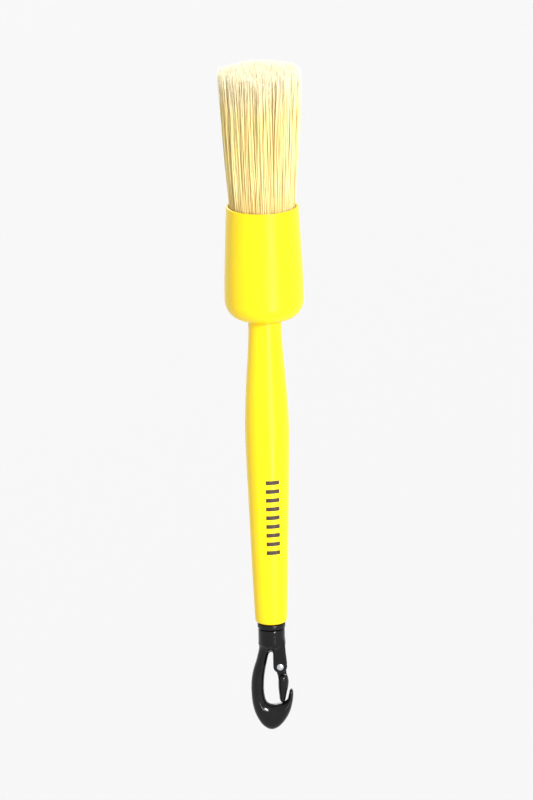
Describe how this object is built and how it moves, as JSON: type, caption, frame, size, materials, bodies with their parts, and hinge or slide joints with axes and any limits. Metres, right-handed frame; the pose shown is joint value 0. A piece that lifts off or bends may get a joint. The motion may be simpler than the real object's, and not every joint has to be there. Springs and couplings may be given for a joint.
{
  "type": "wheel brush",
  "caption": "Round wheel and detailing brush: flared natural bristles in a plastic cup on a slim spindle handle, with a swivelling black snap hook at the tail.",
  "frame": {"origin": "on the brush's axis, in the plane of the cup's underside: the shoulder that rests on a rack's slot", "axes": "+Z along the brush towards the bristle tips; the snap hook lies in the XZ plane, its spine at -X and its gate at +X; -Y is the front"},
  "size_m": [0.0252, 0.0252, 0.2175],
  "materials": {
    "yellow_plastic": "satin",
    "natural_bristle": "matte",
    "cast_resin": "satin",
    "binding_rubber": "matte",
    "black_plastic": "satin",
    "black_gloss_plastic": "gloss",
    "bright_steel": "satin"
  },
  "bodies": {
    "brush_handle": {"handle": "yellow_plastic", "ferrule_cup": "yellow_plastic", "resin_plug": "cast_resin", "knot_band": "binding_rubber", "bristle_roots": "natural_bristle", "tail_bush": "black_plastic"},
    "bristle_pack": {"bristle_lock_01": "natural_bristle", "bristle_lock_02": "natural_bristle", "bristle_lock_03": "natural_bristle", "bristle_lock_04": "natural_bristle", "bristle_lock_05": "natural_bristle", "bristle_lock_06": "natural_bristle", "bristle_lock_07": "natural_bristle", "bristle_lock_08": "natural_bristle", "bristle_lock_09": "natural_bristle", "bristle_lock_10": "natural_bristle", "bristle_lock_11": "natural_bristle", "bristle_lock_12": "natural_bristle", "bristle_lock_13": "natural_bristle", "bristle_lock_14": "natural_bristle", "bristle_lock_15": "natural_bristle", "bristle_lock_16": "natural_bristle", "bristle_lock_17": "natural_bristle", "bristle_lock_18": "natural_bristle", "bristle_lock_19": "natural_bristle"},
    "snap_hook": {"hook_body": "black_gloss_plastic", "shank_clip": "bright_steel", "gate_rivet": "bright_steel", "gate_spring": "bright_steel"},
    "hook_gate": {"gate": "black_gloss_plastic"}
  },
  "joints": [
    {"name": "bristle_bend", "type": "hinge", "parent": "brush_handle", "child": "bristle_pack", "pos_m": [0, 0, 0.036], "axis": [0, 1, 0], "range_deg": [-30, 30], "stiffness_Nm_per_rad": 0.5},
    {"name": "hook_swivel", "type": "hinge", "parent": "brush_handle", "child": "snap_hook", "pos_m": [0, 0, -0.1001], "axis": [0, 0, 1], "continuous": true},
    {"name": "gate_hinge", "type": "hinge", "parent": "snap_hook", "child": "hook_gate", "pos_m": [0.0025, 0, -0.1146], "axis": [0, 1, 0], "range_deg": [0, 22], "stiffness_Nm_per_rad": 0.02, "springref_deg": -20.05, "deforming": ["gate_spring"]}
  ]
}
